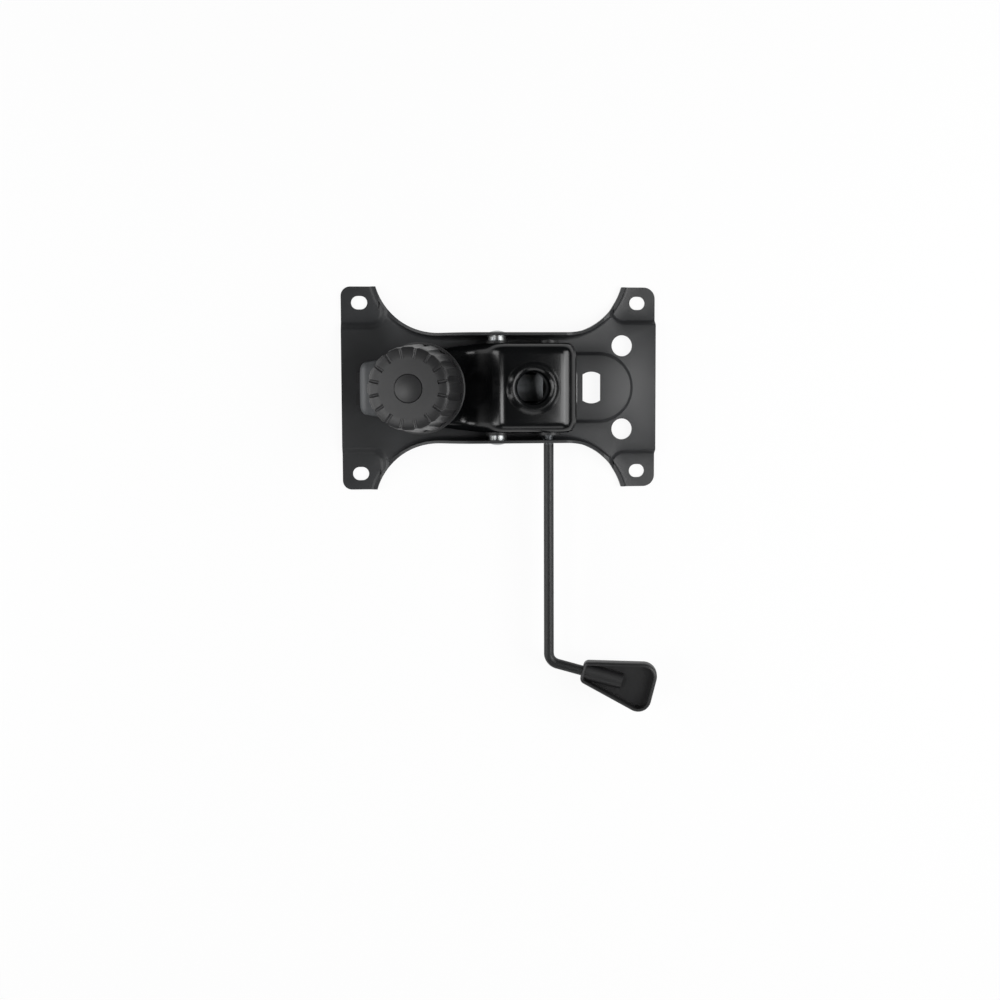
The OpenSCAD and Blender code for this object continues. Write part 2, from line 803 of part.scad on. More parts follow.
module base_housing() {
    color("#242527")
    difference() {
        housing_form(0, 0);
        housing_form(sheet, -sheet);
        across(-far, far) below_edge();
        bar_y(pivot_x, pivot_z, axle_r + run_gap + axle_bush_wall + seat_gap, -housing_w, housing_w);
        bar_y(lever_x, lever_z, guide_r + lever_bush_wall + seat_gap, -housing_w, 0);
        bar_y(lever_x, lever_z, rod_r + run_gap + lever_bush_wall + seat_gap, 0, housing_w);
        translate([socket_x, 0, 0]) cylinder(r = socket_d / 2 + socket_wall + seat_gap, h = far);
        on_bolt() cylinder(r = bolt_r + bolt_room, h = far);
    }
}

module gas_lift_socket() {
    top = housing_z + rim_h;
    bore_r = socket_d / 2;
    rim_r = rim_d / 2;
    socket_in_z = lever_z + rod_r + rod_clear;
    flare_z = top - flare_h;
    land_z = flare_z - land_l;
    in_r = bore_r - (land_z - socket_in_z) * tan(cone_angle);
    color("#303133")
    translate([socket_x, 0, 0]) difference() {
        union() {
            translate([0, 0, socket_in_z])
                cylinder(r = bore_r + socket_wall, h = top - socket_in_z);
            rotate_extrude() polygon([
                [bore_r, housing_z], [rim_r + rim_foot_w, housing_z],
                [rim_r + rim_foot_w, housing_z + rim_h / 5],
                [rim_r + rim_foot_w / 2, housing_z + rim_h / 3],
                [rim_r + rim_foot_w / 6, housing_z + rim_h * 2 / 3], [rim_r, top], [bore_r, top]
            ]);
        }
        translate([0, 0, land_z - lap]) cylinder(r = bore_r, h = far);
        rotate_extrude() polygon([
            [0, socket_in_z - lap], [in_r, socket_in_z - lap], [in_r, socket_in_z],
            [bore_r, land_z], [0, land_z]
        ]);
        rotate_extrude() polygon([
            [0, flare_z], [bore_r, flare_z], [bore_r + flare_w / 3, flare_z + flare_h * 2 / 3],
            [bore_r + flare_w, top], [bore_r + flare_w, far], [0, far]
        ]);
    }
}

// A flanged bush in the housing's wall on the side with positive Y
module wall_bush(x, z, in_r, wall, length) {
    difference() {
        union() {
            bar_y(x, z, in_r + wall, collar_y - length, collar_y);
            bar_y(x, z, in_r + 2 * wall, wall_y, collar_y);
        }
        bar_y(x, z, in_r, 0, housing_w);
    }
}

module pivot_bushes() {
    color("#e2e0d8")
    both_sides()
        wall_bush(pivot_x, pivot_z, axle_r + run_gap, axle_bush_wall, 2 * collar_t + sheet);
}

module lever_guide_bush() {
    color("#e2e0d8")
    mirror([0, 1, 0]) wall_bush(lever_x, lever_z, guide_r, lever_bush_wall, guide_l);
}

module lever_end_bush() {
    color("#e2e0d8")
    wall_bush(lever_x, lever_z, rod_r + run_gap, lever_bush_wall, end_bush_l);
}

module spring_seat_washer() {
    collar_r = (curl_d / 2 - wire_d / 2) * cos(180 / rings_per_curl) - ball_gap;
    color("#55575a")
    on_bolt() difference() {
        union() {
            cylinder(d = wedge_d, h = wedge_top_w);
            cylinder(r = collar_r, h = wedge_top_w + collar_h);
        }
        cylinder(r = bolt_r + bolt_room, h = far);
        translate([0, 0, floor_w]) rotate([0, wedge_tilt, 0])
            translate([-far / 2, -far / 2, -far]) cube(far);
    }
}

module recline_pads() {
    // The clip fills the room that is left over the edge when the seat is fully back
    edge = edge_z + (clip_x - pivot_x) * tan(edge_slope);
    drop = pivot_z - (pivot_z - panel_z) / cos(recline);
    stop = drop + (clip_x - clip_l / 2 - pivot_x) * tan(recline);
    room = edge - stop - clip_l / 2 * tan(edge_slope) - 3 * face_gap;
    color("#1d1d1e")
    both_sides() translate([clip_x, 0, edge]) rotate([0, -edge_slope, 0]) difference() {
        translate([-clip_l / 2, wall_in_y - clip_leg_t, -room])
            cube([clip_l, sheet + 2 * clip_leg_t, room + clip_leg_h]);
        translate([-clip_l, wall_in_y - seat_gap, 0])
            cube([2 * clip_l, sheet + 2 * seat_gap, far]);
    }
}

// The spring's middle line, in the bolt's frame
rings_per_curl = 8;
wire_sides = 6;
closed_curls = 0.75;
curls = open_curls + 2 * closed_curls;
closed_pitch = wire_d + closed_gap;
closed_rise = closed_curls * closed_pitch;
open_pitch = (spring_l - wire_d - 2 * face_gap - 2 * closed_rise) / open_curls;
ring_count = ceil(curls * rings_per_curl);
function wire_rise(t) =
    t < closed_curls ? t * closed_pitch
    : t < closed_curls + open_curls ? closed_rise + (t - closed_curls) * open_pitch
    : closed_rise + open_curls * open_pitch + (t - closed_curls - open_curls) * closed_pitch;
wire_line = [for (i = [0:ring_count])
    let (t = curls * i / ring_count)
    [curl_d / 2 * cos(360 * t), curl_d / 2 * sin(360 * t),
     wedge_top_w + face_gap + wire_d / 2 + wire_rise(t)]];
wire_gaps = [for (i = [0:ring_count], k = [i + rings_per_curl - 2:1:ring_count])
    norm(wire_line[i] - wire_line[k]) - wire_d];
echo(least_spring_gap = min(wire_gaps));

module tension_spring() {
    points = [for (i = [0:ring_count], s = [0:wire_sides - 1])
        let (c = wire_line[i], a = 360 * s / wire_sides, out = [c[0], c[1], 0] / (curl_d / 2))
        c + wire_d / 2 * (cos(a) * out + [0, 0, sin(a)])];
    sides = [for (i = [0:ring_count - 1], s = [0:wire_sides - 1])
        let (a = i * wire_sides + s, b = i * wire_sides + (s + 1) % wire_sides)
        each [[a, b, a + wire_sides], [b, b + wire_sides, a + wire_sides]]];
    last = ring_count * wire_sides;
    ends = [for (s = [1:wire_sides - 2]) each [[0, s + 1, s], [last, last + s, last + s + 1]]];
    color("#5d6064")
    on_bolt() polyhedron(points, concat(sides, ends), convexity = 8);
}

module tension_bolt() {
    color("#8d8f92")
    on_bolt() {
        intersection() {
            sphere(ball_r);
            translate([-far / 2, -far / 2, ball_flat]) cube(far);
        }
        translate([0, 0, ball_flat]) cylinder(r = bolt_r, h = bolt_end_w - ball_flat);
    }
}

module spring_cup() {
    color("#4a4c4f")
    on_bolt() difference() {
        translate([0, 0, cup_top_w - cup_depth]) cylinder(r = cup_r, h = cup_depth);
        translate([0, 0, cup_top_w - cup_depth - lap])
            cylinder(r = cup_in_r, h = cup_depth - cup_floor + lap);
        cylinder(r = bolt_r + slide_gap, h = far);
    }
}

module slip_washer() {
    color("#e2e0d8")
    on_bolt() difference() {
        translate([0, 0, cup_top_w + face_gap]) cylinder(d = hub_d, h = slip_t);
        cylinder(r = bolt_r + slide_gap, h = far);
    }
}

// The knob's body of revolution, as a half section
module knob_section() {
    foot_r = knob_foot_d / 2;
    foot_top = knob_foot_w + knob_foot_h;
    r = knob_d / 2;
    polygon([
        [skirt_in_r, knob_foot_w], [foot_r - foot_bevel, knob_foot_w],
        [foot_r, knob_foot_w + foot_bevel], [foot_r, foot_top - foot_bevel],
        [foot_r - foot_bevel, foot_top], [foot_r - foot_step, foot_top], [r, face_w - face_round],
        [r - face_round / 4, face_w - face_round / 3], [r - face_round, face_w],
        [0, face_w], [0, hub_w], [hub_d / 2, hub_w], [hub_d / 2, face_w - face_t],
        [skirt_in_r, face_w - face_t]
    ]);
}

module tension_knob() {
    rib_lap = 1;
    flute_l = face_w - knob_foot_w - 2 * knob_foot_h;
    taper = atan(((knob_foot_d - knob_d) / 2 - foot_step) / (face_w - knob_foot_w - knob_foot_h));
    color("#2b2b2d")
    on_bolt() difference() {
        union() {
            rotate_extrude() knob_section();
            for (i = [1:knob_ribs]) rotate([0, 0, i * 360 / knob_ribs])
                translate([hub_d / 2 - rib_lap, -knob_rib_t / 2, nut_w0])
                    cube([skirt_in_r - hub_d / 2 + 2 * rib_lap, knob_rib_t, face_w - face_t - hub_w]);
        }
        for (i = [1:flutes]) rotate([0, 0, (i - 0.5) * 360 / flutes]) {
            translate([knob_d / 2 + flute_r - flute_depth, 0, face_w]) rotate([0, 180 - taper, 0])
                translate([0, 0, -cap_room]) cylinder(r = flute_r, h = flute_l + cap_room);
            translate([knob_d / 2 - groove_l, 0, face_w + groove_r / 3])
                rotate([0, 90, 0]) cylinder(r = groove_r, h = groove_l);
        }
        cylinder(r = bolt_r + rod_room, h = far);
        translate([0, 0, nut_w0])
            cylinder(d = (nut_w + 2 * seat_gap) / cos(30), h = nut_h + cap_room - cap_t, $fn = 6);
        translate([0, 0, face_w - cap_t]) cylinder(d = cap_d + 2 * seat_gap, h = far);
        rotate_extrude() polygon([
            [0, face_w - cap_bevel], [cap_d / 2 + seat_gap, face_w - cap_bevel],
            [cap_d / 2 + seat_gap + cap_bevel, face_w], [cap_d / 2 + seat_gap + cap_bevel, far], [0, far]
        ]);
    }
}

module knob_cap() {
    dome_r = (pow(cap_d / 2, 2) + pow(cap_dome, 2)) / (2 * cap_dome);
    color("#343436")
    on_bolt() {
        translate([0, 0, face_w - cap_t]) cylinder(d = cap_d, h = cap_t);
        intersection() {
            translate([0, 0, face_w + cap_dome - dome_r]) sphere(dome_r);
            translate([0, 0, face_w - lap]) cylinder(d = cap_d, h = 2 * cap_dome);
        }
    }
}

module tension_nut() {
    color("#9b9da0")
    on_bolt() difference() {
        translate([0, 0, nut_w0]) cylinder(d = nut_w / cos(30), h = nut_h, $fn = 6);
        cylinder(r = bolt_r + run_gap, h = far);
    }
}

module lever_sleeve() {
    color("#d6d3c9")
    difference() {
        bar_y(lever_x, lever_z, sleeve_d / 2, sleeve_y, sleeve_y + sleeve_l);
        bar_y(lever_x, lever_z, rod_r + run_gap, -far, far);
    }
}

module lever_rod() {
    neck_y = -waist_y - neck_out;
    elbow_y = bend_run - corner_l;
    color("#2a2b2d")
    on_lever() {
        rotate([-90, 0, 0]) rotate_extrude() polygon([
            [0, elbow_y - lap], [rod_r, elbow_y - lap], [rod_r, neck_y], [neck_d / 2, neck_y],
            [neck_d / 2, neck_y + neck_l], [rod_r, neck_y + neck_l], [rod_r, rod_end_y], [0, rod_end_y]
        ]);
        translate([bend_r, elbow_y, 0]) rotate([0, 0, 180]) {
            rotate_extrude(angle = bend_angle) translate([bend_r, 0]) circle(rod_r + bend_swell);
            rotate([0, 0, bend_angle]) translate([bend_r, -lap, 0]) rotate([-90, 0, 0])
                cylinder(r = rod_r, h = paddle_start + paddle_grip - bend_run + lap);
        }
    }
}

// A flat round body with rounded edges
module rounded_disc(r, t, edge) {
    for (s = [-1, 1])
        translate([0, 0, s * (t / 2 - edge)]) rotate_extrude($fn = hull_fn)
            translate([r - edge, 0]) intersection() {
                circle(edge, $fn = hull_fn / 2);
                translate([edge - r, -edge]) square([far, 2 * edge]);
            }
}

// The paddle's four corners, drawn in by the given width: place and radius
function paddle_corners(inset) = [
    [paddle_start + paddle_root_r, paddle_root_w / 2 - paddle_root_r, paddle_root_r - inset],
    [paddle_start + paddle_l - paddle_end_r, paddle_end_w / 2 - paddle_end_r, paddle_end_r - inset]
];

// One end of the paddle's boss: an oval slice across the rod
module boss_rib(x, half_w) {
    half_h = paddle_t / 2 - boss_drop;
    translate([x, 0, 0]) rotate([0, 90, 0]) scale([half_h / half_w, 1, 1])
        cylinder(r = half_w, h = paddle_wall / 2, $fn = hull_fn);
}

module lever_paddle() {
    boss_end = paddle_start + paddle_grip + paddle_wall;
    boss_root = paddle_root_w / 2 - paddle_wall;
    color("#29292b")
    on_lever_end() difference() {
        union() {
            difference() {
                hull() both_sides() for (c = paddle_corners(0))
                    translate([c[0], c[1], 0]) rounded_disc(c[2], paddle_t, paddle_edge_r);
                translate([0, 0, paddle_floor - paddle_t / 2])
                    hull() both_sides() for (c = paddle_corners(paddle_wall))
                        translate([c[0], c[1], 0]) cylinder(r = c[2], h = paddle_t, $fn = hull_fn);
            }
            hull() {
                boss_rib(paddle_start + paddle_wall / 2, boss_root);
                boss_rib(boss_end - paddle_wall / 2, boss_w / 2);
            }
        }
        rotate([0, 90, 0])
            cylinder(r = rod_r + seat_gap, h = paddle_start + paddle_grip + seat_gap);
    }
}

module release_tongue() {
    cradle_x = rod_r * cos(30);
    cradle_z = lever_z - rod_r - tongue_t - face_gap;
    color("#9a9c9f")
    difference() {
        across(-tongue_w / 2, tongue_w / 2) polygon([
            [tongue_tip, tongue_z], [tongue_knee, tongue_z],
            [lever_x - rod_r, cradle_z], [lever_x + cradle_x, cradle_z],
            [lever_x + cradle_x, lever_z - rod_r / 2], [lever_x - cradle_x, lever_z - rod_r / 2],
            [lever_x - rod_r, cradle_z + tongue_t], [tongue_knee, tongue_z + tongue_t],
            [tongue_tip, tongue_z + tongue_t]
        ]);
        bar_y(lever_x, lever_z, rod_r + seat_gap, -far, far);
    }
}

module lever_rings() {
    color("#b5b7ba")
    difference() {
        for (y = [sleeve_y - face_gap - ring_w, sleeve_y + sleeve_l + face_gap])
            bar_y(lever_x, lever_z, ring_r, y, y + ring_w);
        bar_y(lever_x, lever_z, rod_r + seat_gap, -far, far);
    }
}

seat_plate();
bolt_saddle();
saddle_rivets();
pivot_axle();
axle_washers();
front_bumpers();
base_housing();
gas_lift_socket();
pivot_bushes();
lever_guide_bush();
lever_end_bush();
spring_seat_washer();
recline_pads();
tension_spring();
tension_bolt();
spring_cup();
slip_washer();
tension_knob();
knob_cap();
tension_nut();
lever_sleeve();
lever_rod();
lever_paddle();
release_tongue();
lever_rings();
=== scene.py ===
"""Looks of an office chair tilt mechanism that lies on its seat side, seen from straight above."""

import json
import math

import bmesh
import bpy
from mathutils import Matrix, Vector


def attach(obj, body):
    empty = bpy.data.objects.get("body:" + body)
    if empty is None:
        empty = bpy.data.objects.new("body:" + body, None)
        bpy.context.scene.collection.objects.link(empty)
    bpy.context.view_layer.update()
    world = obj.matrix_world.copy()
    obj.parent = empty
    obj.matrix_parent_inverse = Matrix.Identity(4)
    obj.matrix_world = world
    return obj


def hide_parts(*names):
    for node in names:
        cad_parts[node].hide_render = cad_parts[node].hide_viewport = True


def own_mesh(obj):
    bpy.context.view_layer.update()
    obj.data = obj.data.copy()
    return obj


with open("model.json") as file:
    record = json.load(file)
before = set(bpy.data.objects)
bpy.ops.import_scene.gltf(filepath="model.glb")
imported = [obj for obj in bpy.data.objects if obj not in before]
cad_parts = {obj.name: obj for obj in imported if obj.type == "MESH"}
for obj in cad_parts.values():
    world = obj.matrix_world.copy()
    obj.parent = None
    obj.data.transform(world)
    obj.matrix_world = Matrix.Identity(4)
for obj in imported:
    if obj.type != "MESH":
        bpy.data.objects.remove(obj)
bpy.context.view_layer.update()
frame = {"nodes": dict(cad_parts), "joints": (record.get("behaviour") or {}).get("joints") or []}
nodes = frame["nodes"]
joints = {joint["name"]: joint for joint in frame["joints"]}
scene = bpy.context.scene

MM = 0.001

# The tension bolt rocks about its ball and points along the spring cup's travel
BALL = Vector(joints["bolt_rock"]["pos_m"])
BOLT_WAY = Vector(joints["cup_travel"]["axis"])
BOLT_TURN = Vector((0, 0, 1)).rotation_difference(BOLT_WAY)

# Tension spring in millimetres: its foot over the ball, its wire, its curls' middle diameter and pitches
SPRING_FOOT = 22.83
WIRE = 4.5
CURL = 37.0
CLOSED_CURLS = 0.75
OPEN_CURLS = 3.5
CLOSED_PITCH = 5.2
# The open curls stop short of the cup by its travel, inside which nothing shows
OPEN_PITCH = 7.94
CURL_STEPS = 32
WIRE_SIDES = 16

# Tension bolt in millimetres, with heights over the middle of its ball
BOLT_R = 5.0
BALL_R = 11.0
BALL_FLAT = 4.0
FLAT_MIDDLE_R = 0.3
BOLT_END = 81.93
TIP_CHAMFER = 1.0
THREAD_FOOT = 34.0
THREAD_PITCH = 1.5
THREAD_DEPTH = 0.92
# Lengths in which the thread runs in and out, and the share of its depth that is left at the tip
THREAD_RUN_IN = 2.0
THREAD_RUN_OUT = 1.2
THREAD_LEFT = 0.4
# Half the groove's width as a share of the pitch
GROOVE_HALF = 0.42
BOLT_SIDES = 48
BALL_STEPS = 12
PITCH_STEPS = 6

# Middle and half length of the rod's worn neck, across the chair, in millimetres
ROD_NECK = (-46.3, 4.2)
# Where the housing's paler front end, a painted highlight, begins and where it is palest, along the plate, in
# millimetres
PAINTED_NOSE_HIGHLIGHT = (-106.0, -117.0)
# Edges that bend by more than this stay sharp, and corners closer than this, in millimetres, are one
SHARP_EDGE = math.radians(30)
SAME_CORNER = 0.002

# Share of plain white in the floor as the eye sees it, its gap under the part in millimetres,
# and how far it reaches to each side in metres
FLOOR_WHITE = 0.92
FLOOR_GAP = 0.3
FLOOR_REACH = 20.0
# Light of the dark ceiling, and the heights over the horizon between which the white wall gives way to it
CEILING = 0.03
WALL_TOP = (math.radians(1), math.radians(6))
# Soft lamps aimed at the origin: place, width and depth in metres, and watts
LAMPS = {
    "right_panel": ((1.0, 0.0, 1.0), 1.4, 0.7, 13),
    "right_top": ((0.63, -0.1, 1.36), 0.6, 0.55, 5),
    "left_top": ((-0.88, -0.18, 1.28), 0.42, 0.42, 4),
    "left_strip": ((-1.25, 0.0, 0.6), 1.3, 0.6, 9),
    "near_strip": ((0.0, -1.25, 0.7), 1.2, 0.5, 2.5),
}
# The camera: lens and sensor in millimetres, shift as a share of the frame, place in metres, turn in degrees
LENS = 39.0
SENSOR = 36.0
SHIFT = -0.05
CAMERA_PLACE = (-0.0871, 0.0020, 0.9948)
CAMERA_TURN = (-3.373, -5.017, -0.240)


def linear(hex_colour):
    """An sRGB hex colour as linear RGBA."""
    out = []
    for i in (1, 3, 5):
        c = int(hex_colour[i:i + 2], 16) / 255
        out.append(c / 12.92 if c <= 0.04045 else ((c + 0.055) / 1.055) ** 2.4)
    return (*out, 1.0)


def add(tree, kind, sockets=None, stops=(), **settings):
    """Adds one node. Settings are its properties, sockets its inputs: values or other nodes' outputs.
    Stops are a colour ramp's places and hex colours."""
    made = tree.nodes.new(kind)
    for name, value in settings.items():
        setattr(made, name, value)
    for name, value in (sockets or {}).items():
        if isinstance(value, bpy.types.NodeSocket):
            tree.links.new(value, made.inputs[name])
        else:
            made.inputs[name].default_value = value
    for i, (place, colour) in enumerate(stops):
        made.color_ramp.elements[i].position = place
        made.color_ramp.elements[i].color = linear(colour)
    return made


def marks(size):
    """The scale of a pattern whose marks have that size in millimetres."""
    return 1 / (size * MM)


def empty_tree(owner):
    """The cleared node tree of a material or a world."""
    owner.use_nodes = True
    owner.node_tree.nodes.clear()
    return owner.node_tree


def start_material(name):
    """A new material, its empty tree and the places on the piece that carries it."""
    mat = bpy.data.materials.new(name)
    tree = empty_tree(mat)
    return mat, tree, add(tree, "ShaderNodeTexCoord").outputs["Object"]


def powder_coated_steel():
    """Pressed sheet with a baked black powder coat: semi-gloss and faintly pebbled.
    The coat draws thin on the edges and is paler there."""
    mat, tree, place = start_material("powder_coated_steel")
    pebbles = add(tree, "ShaderNodeTexNoise", {"Vector": place, "Scale": marks(1.4), "Detail": 2.0})
    clouds = add(tree, "ShaderNodeTexNoise", {"Vector": place, "Scale": marks(45), "Detail": 4.0})
    shade = add(tree, "ShaderNodeValToRGB", {"Fac": clouds.outputs["Fac"]},
                stops=[(0.3, "#202122"), (0.72, "#28292b")])
    soft = add(tree, "ShaderNodeBevel", {"Radius": 0.6 * MM}, samples=4)
    true = add(tree, "ShaderNodeNewGeometry")
    bend = add(tree, "ShaderNodeVectorMath", {0: soft.outputs["Normal"], 1: true.outputs["True Normal"]},
               operation="DOT_PRODUCT")
    edge = add(tree, "ShaderNodeMapRange", {"Value": bend.outputs["Value"], "From Min": 0.97,
                                            "From Max": 0.8, "To Min": 0.0, "To Max": 0.12})
    colour = add(tree, "ShaderNodeMix", {"Factor": edge.outputs["Result"], "A": shade.outputs["Color"],
                                         "B": linear("#55575a")}, data_type="RGBA")
    rough = add(tree, "ShaderNodeMapRange", {"Value": clouds.outputs["Fac"], "From Min": 0.3,
                                             "From Max": 0.7, "To Min": 0.42, "To Max": 0.5})
    bump = add(tree, "ShaderNodeBump", {"Height": pebbles.outputs["Fac"], "Strength": 0.25,
                                        "Distance": 0.05 * MM, "Normal": soft.outputs["Normal"]})
    coat = add(tree, "ShaderNodeBsdfPrincipled", {
        "IOR": 1.5, "Base Color": colour.outputs["Result"], "Roughness": rough.outputs["Result"],
        "Normal": bump.outputs["Normal"]})
    add(tree, "ShaderNodeOutputMaterial", {"Surface": coat.outputs["BSDF"]})
    return mat


def enamelled_drawn_steel():
    """Deep-drawn sheet with a dipped black enamel: glossier than the plate, with the sheet's slow waves.
    The front end is painted paler as a painted highlight, and is made duller there."""
    mat, tree, place = start_material("enamelled_drawn_steel")
    waves = add(tree, "ShaderNodeTexNoise", {"Vector": place, "Scale": marks(26), "Detail": 1.0})
    peel = add(tree, "ShaderNodeTexNoise", {"Vector": place, "Scale": marks(1.6), "Detail": 1.0})
    shade = add(tree, "ShaderNodeValToRGB", {"Fac": waves.outputs["Fac"]},
                stops=[(0.35, "#0b0c0d"), (0.7, "#0f1011")])
    along = add(tree, "ShaderNodeSeparateXYZ", {"Vector": place})
    # The paler colour towards the front end is a painted highlight; the roughness is raised there as well
    painted_highlight = add(tree, "ShaderNodeMapRange", {"Value": along.outputs["X"], "From Min": PAINTED_NOSE_HIGHLIGHT[0] * MM,
                                            "From Max": PAINTED_NOSE_HIGHLIGHT[1] * MM}, interpolation_type="SMOOTHSTEP")
    colour = add(tree, "ShaderNodeMix", {"Factor": painted_highlight.outputs["Result"], "A": shade.outputs["Color"],
                                         "B": linear("#585a5c")}, data_type="RGBA")
    rough = add(tree, "ShaderNodeMapRange", {"Value": waves.outputs["Fac"], "From Min": 0.3,
                                             "From Max": 0.7, "To Min": 0.15, "To Max": 0.2})
    dull = add(tree, "ShaderNodeMath", {0: painted_highlight.outputs["Result"], 1: 0.3, 2: rough.outputs["Result"]},
               operation="MULTIPLY_ADD")
    drawn = add(tree, "ShaderNodeBevel", {"Radius": 2.5 * MM}, samples=6)
    sheet = add(tree, "ShaderNodeBump", {"Height": waves.outputs["Fac"], "Strength": 0.4,
                                         "Distance": 0.5 * MM, "Normal": drawn.outputs["Normal"]})
    bump = add(tree, "ShaderNodeBump", {"Height": peel.outputs["Fac"], "Strength": 0.05,
                                        "Distance": 0.01 * MM, "Normal": sheet.outputs["Normal"]})
    glaze = add(tree, "ShaderNodeBsdfPrincipled", {
        "IOR": 1.5, "Base Color": colour.outputs["Result"], "Roughness": dull.outputs["Value"],
        "Normal": bump.outputs["Normal"]})
    add(tree, "ShaderNodeOutputMaterial", {"Surface": glaze.outputs["BSDF"]})
    return mat


def blackened_rod_steel():
    """Cold-drawn bar with a thin black coat, worn to grey steel where it runs in the flange.
    Fine lines run along it, drawn coarser than real ones so that they show."""
    mat, tree, place = start_material("blackened_rod_steel")
    drawn = add(tree, "ShaderNodeMapping", {"Vector": place, "Scale": (1, 0.02, 1)})
    lines = add(tree, "ShaderNodeTexNoise", {"Vector": drawn.outputs["Vector"], "Scale": marks(0.5),
                                             "Detail": 2.0})
    shade = add(tree, "ShaderNodeValToRGB", {"Fac": lines.outputs["Fac"]},
                stops=[(0.35, "#0e0f10"), (0.7, "#151617")])
    across = add(tree, "ShaderNodeSeparateXYZ", {"Vector": place})
    bare = add(tree, "ShaderNodeMath", {0: across.outputs["Y"], 1: ROD_NECK[0] * MM, 2: ROD_NECK[1] * MM},
               operation="COMPARE")
    colour = add(tree, "ShaderNodeMix", {"Factor": bare.outputs["Value"], "A": shade.outputs["Color"],
                                         "B": linear("#5e6062")}, data_type="RGBA")
    rough = add(tree, "ShaderNodeMapRange", {"Value": lines.outputs["Fac"], "From Min": 0.3,
                                             "From Max": 0.7, "To Min": 0.46, "To Max": 0.5})
    bump = add(tree, "ShaderNodeBump", {"Height": lines.outputs["Fac"], "Strength": 0.03,
                                        "Distance": 0.01 * MM})
    bar = add(tree, "ShaderNodeBsdfPrincipled", {
        "IOR": 1.5, "Base Color": colour.outputs["Result"], "Metallic": bare.outputs["Value"],
        "Roughness": rough.outputs["Result"], "Normal": bump.outputs["Normal"]})
    add(tree, "ShaderNodeOutputMaterial", {"Surface": bar.outputs["BSDF"]})
    return mat


def barrel_zinc_plate():
    """Turned steel with a barrel zinc plate: grey and half bright, with cloudy patches.
    The dents of the barrel are drawn coarser than real ones so that they show."""
    mat, tree, place = start_material("barrel_zinc_plate")
    clouds = add(tree, "ShaderNodeTexNoise", {"Vector": place, "Scale": marks(5), "Detail": 4.0})
    shade = add(tree, "ShaderNodeValToRGB", {"Fac": clouds.outputs["Fac"]},
                stops=[(0.3, "#8f9295"), (0.7, "#acaeac")])
    rough = add(tree, "ShaderNodeMapRange", {"Value": clouds.outputs["Fac"], "From Min": 0.3,
                                             "From Max": 0.7, "To Min": 0.28, "To Max": 0.42})
    dents = add(tree, "ShaderNodeTexNoise", {"Vector": place, "Scale": marks(0.4), "Detail": 1.0})
    bump = add(tree, "ShaderNodeBump", {"Height": dents.outputs["Fac"], "Strength": 0.12,
                                        "Distance": 0.03 * MM})
    plate = add(tree, "ShaderNodeBsdfPrincipled", {
        "Metallic": 1.0, "Base Color": shade.outputs["Color"], "Roughness": rough.outputs["Result"],
        "Normal": bump.outputs["Normal"]})
    add(tree, "ShaderNodeOutputMaterial", {"Surface": plate.outputs["BSDF"]})
    return mat


def oiled_spring_steel():
    """Spring steel and strip, phosphated and oiled: dark grey, blotched and half matt.
    The phosphate's grit is drawn coarser than the real one so that it shows."""
    mat, tree, place = start_material("oiled_spring_steel")
    blotch = add(tree, "ShaderNodeTexNoise", {"Vector": place, "Scale": marks(7), "Detail": 5.0})
    shade = add(tree, "ShaderNodeValToRGB", {"Fac": blotch.outputs["Fac"]},
                stops=[(0.3, "#5c5e60"), (0.72, "#7f8183")])
    rough = add(tree, "ShaderNodeMapRange", {"Value": blotch.outputs["Fac"], "From Min": 0.3,
                                             "From Max": 0.7, "To Min": 0.34, "To Max": 0.52})
    grit = add(tree, "ShaderNodeTexNoise", {"Vector": place, "Scale": marks(0.5), "Detail": 2.0})
    bump = add(tree, "ShaderNodeBump", {"Height": grit.outputs["Fac"], "Strength": 0.2,
                                        "Distance": 0.03 * MM})
    strip = add(tree, "ShaderNodeBsdfPrincipled", {
        "Metallic": 1.0, "Base Color": shade.outputs["Color"], "Roughness": rough.outputs["Result"],
        "Normal": bump.outputs["Normal"]})
    add(tree, "ShaderNodeOutputMaterial", {"Surface": strip.outputs["BSDF"]})
    return mat


def moulded_plastic(name, ior, dark, light, rough_range):
    """Black plastic from a spark-eroded mould: an even grain that spreads the light.
    The grain is drawn coarser than the real one so that it shows."""
    mat, tree, place = start_material(name)
    grain = add(tree, "ShaderNodeTexNoise", {"Vector": place, "Scale": marks(0.55), "Detail": 3.0})
    flow = add(tree, "ShaderNodeTexNoise", {"Vector": place, "Scale": marks(30), "Detail": 2.0})
    shade = add(tree, "ShaderNodeValToRGB", {"Fac": flow.outputs["Fac"]}, stops=[(0.3, dark), (0.7, light)])
    rough = add(tree, "ShaderNodeMapRange", {"Value": grain.outputs["Fac"], "From Min": 0.3, "From Max": 0.7,
                                             "To Min": rough_range[0], "To Max": rough_range[1]})
    bump = add(tree, "ShaderNodeBump", {"Height": grain.outputs["Fac"], "Strength": 0.3,
                                        "Distance": 0.04 * MM})
    plastic = add(tree, "ShaderNodeBsdfPrincipled", {
        "IOR": ior, "Base Color": shade.outputs["Color"], "Roughness": rough.outputs["Result"],
        "Normal": bump.outputs["Normal"]})
    add(tree, "ShaderNodeOutputMaterial", {"Surface": plastic.outputs["BSDF"]})
    return mat


def black_bearing_nylon():
    """Filled black nylon for bushes: dense, half matt, with faint moulding clouds."""
    mat, tree, place = start_material("black_bearing_nylon")
    clouds = add(tree, "ShaderNodeTexNoise", {"Vector": place, "Scale": marks(6), "Detail": 3.0})
    shade = add(tree, "ShaderNodeValToRGB", {"Fac": clouds.outputs["Fac"]},
                stops=[(0.0, "#1e1e1f"), (1.0, "#2b2b2c")])
    rough = add(tree, "ShaderNodeMapRange", {"Value": clouds.outputs["Fac"], "To Min": 0.38, "To Max": 0.55})
    plastic = add(tree, "ShaderNodeBsdfPrincipled", {
        "IOR": 1.53, "Base Color": shade.outputs["Color"], "Roughness": rough.outputs["Result"]})
    add(tree, "ShaderNodeOutputMaterial", {"Surface": plastic.outputs["BSDF"]})
    return mat


